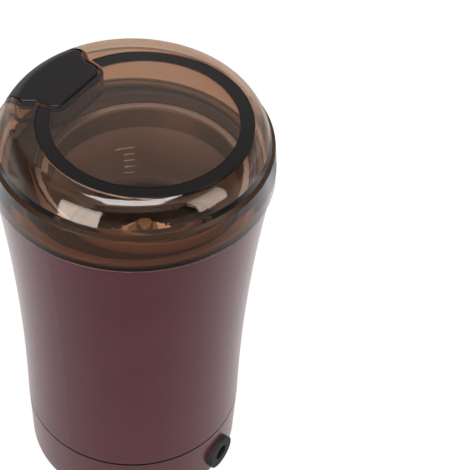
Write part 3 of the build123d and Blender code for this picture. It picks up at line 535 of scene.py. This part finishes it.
def grown(name, tree, sizes, material):
    """Run a Geometry Nodes tree on an empty object and keep its result as a plain piece."""
    seed = bpy.data.objects.new(name + "_seed", bpy.data.meshes.new(name + "_seed"))
    bpy.context.scene.collection.objects.link(seed)
    modifier = seed.modifiers.new(name, "NODES")
    modifier.node_group = tree
    for item in tree.interface.items_tree:
        if item.in_out == "INPUT":
            modifier[item.identifier] = sizes[item.name]
    return settled(name, seed, material)


bpy.context.view_layer.update()
mark_sizes = {
    "Top level": mark_top,
    "Pitch": -mark_pitch,
    "Radius": wall_radius(mark_top),
    "Draft": (wall_radius(mark_top) - wall_radius(mark_top - mark_pitch)) / mark_pitch,
    "Start": mark_start,
    "Long sweep": long_sweep,
    "Short sweep": short_sweep,
}
mark_tree, size_of, mark_end = node_tree("fill_marks", mark_sizes)
ladder_foot = geometry_node(mark_tree, "ShaderNodeCombineXYZ", {"Z": size_of["Top level"]})
ladder_step = geometry_node(mark_tree, "ShaderNodeCombineXYZ", {"Z": size_of["Pitch"]})
ladder_inputs = {"Count": mark_count, "Start Location": ladder_foot, "Offset": ladder_step}
ladder = geometry_node(mark_tree, "GeometryNodeMeshLine", ladder_inputs)
stroke_sides = {"Width": stroke_thickness, "Height": stroke_breadth}
stroke_section = geometry_node(mark_tree, "GeometryNodeCurvePrimitiveQuadrilateral", stroke_sides)
rank = geometry_node(mark_tree, "GeometryNodeInputIndex", {})
lower = tree_math(mark_tree, "GREATER_THAN", rank, 0.5)
upper = tree_math(mark_tree, "LESS_THAN", rank, 0.5)
drop = tree_math(mark_tree, "MULTIPLY", rank, size_of["Pitch"])
draw_in = tree_math(mark_tree, "MULTIPLY", drop, size_of["Draft"])
relative = tree_math(mark_tree, "DIVIDE", draw_in, size_of["Radius"])
growth = tree_math(mark_tree, "ADD", relative, 1.0)
spread = geometry_node(mark_tree, "ShaderNodeCombineXYZ", {"X": growth, "Y": growth, "Z": 1.0})
rows = mark_tree.nodes.new("GeometryNodeJoinGeometry")
for sweep, choice in (("Long sweep", upper), ("Short sweep", lower)):
    bow_inputs = {
        "Resolution": stroke_points,
        "Radius": size_of["Radius"],
        "Start Angle": size_of["Start"],
        "Sweep Angle": size_of[sweep],
    }
    bow = geometry_node(mark_tree, "GeometryNodeCurveArc", bow_inputs)
    stroke_inputs = {"Curve": bow, "Profile Curve": stroke_section, "Fill Caps": True}
    stroke = geometry_node(mark_tree, "GeometryNodeCurveToMesh", stroke_inputs)
    row_inputs = {"Points": ladder, "Selection": choice, "Instance": stroke, "Scale": spread}
    row = geometry_node(mark_tree, "GeometryNodeInstanceOnPoints", row_inputs)
    mark_tree.links.new(row, rows.inputs[0])
on_axis_inputs = {"Geometry": rows.outputs[0], "Translation": (motor_middle.x, motor_middle.y, 0.0)}
on_axis = geometry_node(mark_tree, "GeometryNodeTransform", on_axis_inputs)
finish_tree(mark_tree, mark_end, on_axis, mark_enamel)
fill_marks = grown("fill_marks", mark_tree, mark_sizes, mark_enamel)
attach(fill_marks, "housing")


# Blade: stamped from stainless strip, twisted, and ground to an edge along the leading side of each
# wing. It sits on the shaft under its nut, and coffee oil has browned it.

blade_heading = radians(126)
blade_dark = (0.7, 0.45, 0.29, 1.0)
blade_bright = (0.93, 0.61, 0.4, 1.0)
grind_across = 4000.0
grind_along = 250.0
grind_stretch = (grind_across, grind_along, grind_along)
blade_steel, blade_shader, blade_place = new_finish("blade_steel", Metallic=1.0)
grind_inputs = {"Vector": blade_place, "Rotation": (0.0, 0.0, -blade_heading), "Scale": grind_stretch}
grind = noise(blade_place.add("ShaderNodeMapping", grind_inputs), scale=1.0, detail=3.0)
feed(blade_shader, "Base Color", between(grind, blade_dark, blade_bright))
feed(blade_shader, "Roughness", 0.2 + grind * 0.18)
raised(blade_shader, grind, ring_strength, ring_depth)
dress(blade_steel, "grinding_blade")


# Blade collar, plunger and push rod: small satin black mouldings. The collar is pushed on the shaft,
# and the plunger and the rod slide in their guides. The blade's nut is steel, browned like the blade.

satin_black = (0.0085, 0.008, 0.0083)
nut_brown = (0.27, 0.17, 0.105)
warm_gloss = (1.0, 0.88, 0.9, 1.0)
black_plastic = moulded(
    "black_plastic",
    satin_black,
    roughness=0.3,
    grain=3200.0,
    Specular_IOR_Level=0.28,
    Specular_Tint=warm_gloss,
)
dress(black_plastic, "blade_collar", "switch_plunger", "push_rod")
nut_steel = plated("nut_steel", nut_brown, roughness=0.45, grain=700.0)
dress(nut_steel, "blade_nut")


# Micro switch and boot: a bought switch in black plastic on two pegs under the deck, and the
# rubber boot that seals its plunger.

switch_black = (0.018, 0.018, 0.02)
switch_plastic = moulded("switch_plastic", switch_black, roughness=0.45, grain=1500.0)
dress(switch_plastic, "micro_switch")
dress(black_rubber, "plunger_boot")


# Lid: one clear moulding in smoke-brown plastic with polished faces. Its tint lies in the plastic
# itself, so that thick places look darker than thin ones. Only the small step round it is matt,
# which makes it a little cloudy.

smoke = (0.625, 0.375, 0.16, 1.0)
smoke_density = 400.0
cloudy_brown = (0.35, 0.18, 0.1, 1.0)
polish_dark = (0.95, 0.94, 0.93, 1.0)
polish_bright = (1.0, 0.995, 0.99, 1.0)
pale_shadow = (0.94, 0.93, 0.92, 1.0)
step_rise = 14.3 * mm
step_height = 1.5 * mm
step_radius = 46.4 * mm
step_roughness = 0.28
step_clear = 0.55
step_cloud = 0.22
lid_low, lid_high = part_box("lid_shell")
lid_middle = (lid_low + lid_high) / 2
step_level = lid_low.z + step_rise


def mixed(share, first, second):
    """A mix of two shaders."""
    return share.add("ShaderNodeMixShader", {"Fac": share, 1: first, 2: second})


smoked_clear, lid_shader, lid_place = new_finish("smoked_clear", IOR=1.49, Transmission_Weight=1.0)
polish = noise(lid_place, scale=35.0)
lid_distance, lid_level = round_axis(lid_place, 0.0, 0.0)
above = lid_level.math("GREATER_THAN", lid_level, step_level - step_height / 2)
below = lid_level.math("LESS_THAN", lid_level, step_level + step_height / 2)
matt = above * below * lid_distance.math("GREATER_THAN", lid_distance, step_radius)
feed(lid_shader, "Base Color", between(polish, polish_dark, polish_bright))
feed(lid_shader, "Roughness", 0.015 + polish * 0.03 + matt * step_roughness)
lid_tree = smoked_clear.node_tree
lid_end = lid_tree.nodes["Material Output"]
shadow_ray = Wire(lid_tree.nodes.new("ShaderNodeLightPath"), "Is Shadow Ray")
passing = shadow_ray.add("ShaderNodeBsdfTransparent", {"Color": pale_shadow})
straight = shadow_ray.add("ShaderNodeBsdfTransparent", {"Color": (1.0, 1.0, 1.0, 1.0)})
cloudy = shadow_ray.add("ShaderNodeBsdfDiffuse", {"Color": cloudy_brown})
softened = mixed(matt * step_clear, Wire(lid_shader), straight)
frosted = mixed(matt * step_cloud, softened, cloudy)
feed(lid_end, "Surface", mixed(shadow_ray, frosted, passing))
tint = shadow_ray.add("ShaderNodeVolumeAbsorption", {"Color": smoke, "Density": smoke_density})
feed(lid_end, "Volume", tint)
dress(smoked_clear, "lid_shell")


# Trim ring: a flat satin black ring, moulded by itself and snapped into the groove round the window.
# It lies on the motor's axis, off the middle of the lid.

ring_tone = (0.006, 0.0045, 0.0045)
ring_black = moulded(
    "ring_black",
    ring_tone,
    roughness=0.2,
    grain=2800.0,
    Specular_IOR_Level=0.4,
    Specular_Tint=warm_gloss,
)
dress(ring_black, "trim_ring")


# Press button: a hollow satin black moulding that sits flush with the dome, in a pocket of its own
# outline. The mould leaves no sharp edge on it, so the solid gets an even mesh, which is smoothed.

button_grid = 0.25 * mm
button_rounds = 14
button_easing = 0.5
weld_distance = 0.002 * mm
solid_mesh = nodes["switch_button"].data.copy()
work = bmesh.new()
work.from_mesh(solid_mesh)
bmesh.ops.remove_doubles(work, verts=work.verts, dist=weld_distance)
work.to_mesh(solid_mesh)
work.free()
blank = bpy.data.objects.new("button_blank", solid_mesh)
bpy.context.scene.collection.objects.link(blank)
even = blank.modifiers.new("even", "REMESH")
even.mode = "VOXEL"
even.voxel_size = button_grid
even.use_smooth_shade = True
rounding = blank.modifiers.new("rounding", "SMOOTH")
rounding.factor = button_easing
rounding.iterations = button_rounds
button = settled("press_button", blank, black_plastic)
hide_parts("switch_button")
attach(button, "button")


# Return spring: hard-drawn wire wound in three turns round the rod, standing on the pocket's floor
# inside the lid. It rides with the lid and keeps its rest length, also when the button goes down.

bright_wire = (0.55, 0.55, 0.56)
spring_wire = 0.35 * mm
spring_radius = 3.6 * mm
spring_turns = 3.0
turn_points = 40
wire_sides = 12
spring_clear = 0.25 * mm
spring_low, spring_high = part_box("button_spring")
rod_low, rod_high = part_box("push_rod")
rod_middle = (rod_low + rod_high) / 2
spring_rest = spring_high.z - spring_low.z - spring_clear
spring_steel = plated("spring_steel", bright_wire, roughness=0.28, grain=1500.0)
spring_sizes = {
    "Coil radius": spring_radius,
    "Wire radius": spring_wire,
    "Rise": spring_rest - 2 * spring_wire,
    "Turns": spring_turns,
}
spring_tree, spring_size, spring_end = node_tree("spring_coil", spring_sizes)
coil_inputs = {
    "Resolution": turn_points,
    "Rotations": spring_size["Turns"],
    "Start Radius": spring_size["Coil radius"],
    "End Radius": spring_size["Coil radius"],
    "Height": spring_size["Rise"],
}
coil = geometry_node(spring_tree, "GeometryNodeCurveSpiral", coil_inputs)
section_inputs = {"Resolution": wire_sides, "Radius": spring_size["Wire radius"]}
section = geometry_node(spring_tree, "GeometryNodeCurvePrimitiveCircle", section_inputs)
wound_inputs = {"Curve": coil, "Profile Curve": section, "Fill Caps": True}
wound = geometry_node(spring_tree, "GeometryNodeCurveToMesh", wound_inputs)
spring_foot = (rod_middle.x, rod_middle.y, spring_low.z + spring_wire)
standing_inputs = {"Geometry": wound, "Translation": spring_foot}
standing = geometry_node(spring_tree, "GeometryNodeTransform", standing_inputs)
smooth = geometry_node(spring_tree, "GeometryNodeSetShadeSmooth", {"Geometry": standing})
finish_tree(spring_tree, spring_end, smooth, spring_steel)
spring = grown("return_spring", spring_tree, spring_sizes, spring_steel)
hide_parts("button_spring")
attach(spring, "lid")
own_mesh(spring)


# Studio: a white paper floor that shows plain white but keeps the object's shadow. In the gloss it
# looks dimmer towards the camera and far behind the object. The room is white low down and dark
# overhead, in the gloss and through the lid, with soft boxes to the left, to the right and above.

floor_reach = 4.0
paper_grey = (0.9, 0.9, 0.9, 1.0)
paper_glow = 1.12
paper_share = 0.85
camera_heading = radians(36)
towards_camera = Vector((cos(camera_heading), sin(camera_heading), 0.0))
scene = bpy.context.scene
scene.view_settings.view_transform = "Standard"
floor_mesh = bpy.data.meshes.new("floor")
near_edge = [(-floor_reach, -floor_reach, 0.0), (floor_reach, -floor_reach, 0.0)]
far_edge = [(floor_reach, floor_reach, 0.0), (-floor_reach, floor_reach, 0.0)]
floor_mesh.from_pydata(near_edge + far_edge, [], [(0, 1, 2, 3)])
floor = bpy.data.objects.new("floor", floor_mesh)
scene.collection.objects.link(floor)


def studio_rays(tree):
    """Two shares: of rays that see the studio as it is, and of those that see it in a gloss."""
    path = tree.nodes.new("ShaderNodeLightPath")
    plain = Wire(path, "Is Camera Ray") + Wire(path, "Is Transmission Ray")
    plain = plain.math("MINIMUM", plain, 1.0)
    return plain, Wire(path, "Is Glossy Ray") * (1.0 - plain)


paper, paper_shader, paper_place = new_finish("paper", Base_Color=paper_grey, Roughness=0.9)
direct, mirrored = studio_rays(paper.node_tree)
near = along(paper_place, towards_camera)
falloff = ramp(near, start=-0.1, end=0.15, first=1.5, last=0.26)
beyond = ramp(near, start=-0.15, end=-0.11, first=0.3, last=1.0)
paper_light = direct * paper_glow + mirrored * falloff * beyond
glow = direct.add("ShaderNodeEmission", {"Color": paper_light, "Strength": 1.0})
white = mixed((direct + mirrored) * paper_share, Wire(paper_shader), glow)
feed(paper.node_tree.nodes["Material Output"], "Surface", white)
floor_mesh.materials.append(paper)

room_light = 0.12
overhead_light = 0.04
ceiling_tilt = radians(40)
ceiling_axis = towards_camera * sin(ceiling_tilt) + Vector((0.0, 0.0, cos(ceiling_tilt)))
world = bpy.data.worlds.new("studio")
world.use_nodes = True
scene.world = world
room = world.node_tree.nodes["Background"]
room_place = Wire(world.node_tree.nodes.new("ShaderNodeTexCoord"), "Generated")
height = along(room_place, ceiling_axis)
ceiling = ramp(height, start=-0.12, end=0.15, first=1.0, last=overhead_light)
dome_side = ramp(height, start=-0.1, end=0.35, first=1.0, last=overhead_light)
horizon = ramp(level_of(room_place), start=0.1, end=0.3, first=1.0, last=0.0)
overhead = horizon.math("MAXIMUM", horizon, dome_side)
seen, reflected = studio_rays(world.node_tree)
camera_ray = Wire(world.node_tree.nodes.new("ShaderNodeLightPath"), "Is Camera Ray")
plain_sky = camera_ray + (1.0 - camera_ray) * overhead
feed(room, "Color", (1.0, 1.0, 1.0, 1.0))
feed(room, "Strength", seen * plain_sky + reflected * ceiling + (1.0 - seen - reflected) * room_light)


def bearing(azimuth, elevation, distance):
    """A point at an azimuth from +X, an elevation and a distance from the lid's middle."""
    turn = radians(azimuth)
    lift = radians(elevation)
    return lid_middle + distance * Vector((cos(lift) * cos(turn), cos(lift) * sin(turn), sin(lift)))


def panel(name, place, size, radiance, shows, colour=(1.0, 1.0, 1.0), passes=True):
    """A soft box that faces the lid: it lights the object, or shows in its gloss alone.

    The radiance is what a mirror would show of it, and passes says whether rays through the lid see it."""
    lamp = bpy.data.lights.new(name, "AREA")
    lamp.shape = "RECTANGLE"
    lamp.size, lamp.size_y = size
    lamp.energy = radiance * pi * size[0] * size[1]
    lamp.color = colour
    box = bpy.data.objects.new(name, lamp)
    box.location = place
    box.rotation_euler = (lid_middle - place).to_track_quat("-Z", "Y").to_euler()
    box.visible_camera = False
    box.visible_diffuse = not shows
    box.visible_glossy = shows
    box.visible_transmission = passes
    scene.collection.objects.link(box)


warm_left = (1.0, 0.9, 0.82)
warm_right = (1.0, 0.87, 0.79)
panel("left_box", bearing(-4, 10, 0.9), (0.5, 0.56), radiance=7.6, shows=True, colour=warm_left)
panel("right_box", bearing(96, 22, 0.9), (0.4, 0.6), radiance=5.0, shows=True, colour=warm_right)
panel("crown_box", bearing(36, 86, 0.9), (0.5, 0.64), radiance=12.0, shows=True, passes=False)
panel("top_box", bearing(36, 80, 1.0), (1.3, 1.3), radiance=1.6, shows=False)


# Camera: a long lens that looks down on the lid at the angle of the photograph. It is turned a little
# aside, so that the object's axis stands left of the middle, and it doesn't lean.

photo_width = 470
focal_pixels = 1500
axis_pixel = 133.7
camera_place = Vector((303.2, 220.4, 499.8)) * mm
right = Vector((-0.588, 0.809, 0.0)).normalized()
ahead = Vector((-0.809, -0.588, 0.0)).normalized()
dip = radians(45.93)
camera_data = bpy.data.cameras.new("camera")
camera_data.sensor_width = 36.0
camera_data.lens = camera_data.sensor_width * focal_pixels / photo_width
camera = bpy.data.objects.new("camera", camera_data)
scene.collection.objects.link(camera)
scene.camera = camera
forward = ahead * cos(dip) - Vector((0.0, 0.0, sin(dip)))
top = right.cross(forward)
sideways = (photo_width / 2 - axis_pixel) / focal_pixels
aim = (forward + right * sideways).normalized()
side = (right - forward * sideways).normalized()
columns = [side.to_4d(), top.to_4d(), (-aim).to_4d(), camera_place.to_4d()]
for column in columns[:3]:
    column[3] = 0.0
camera.matrix_world = Matrix(columns).transposed()
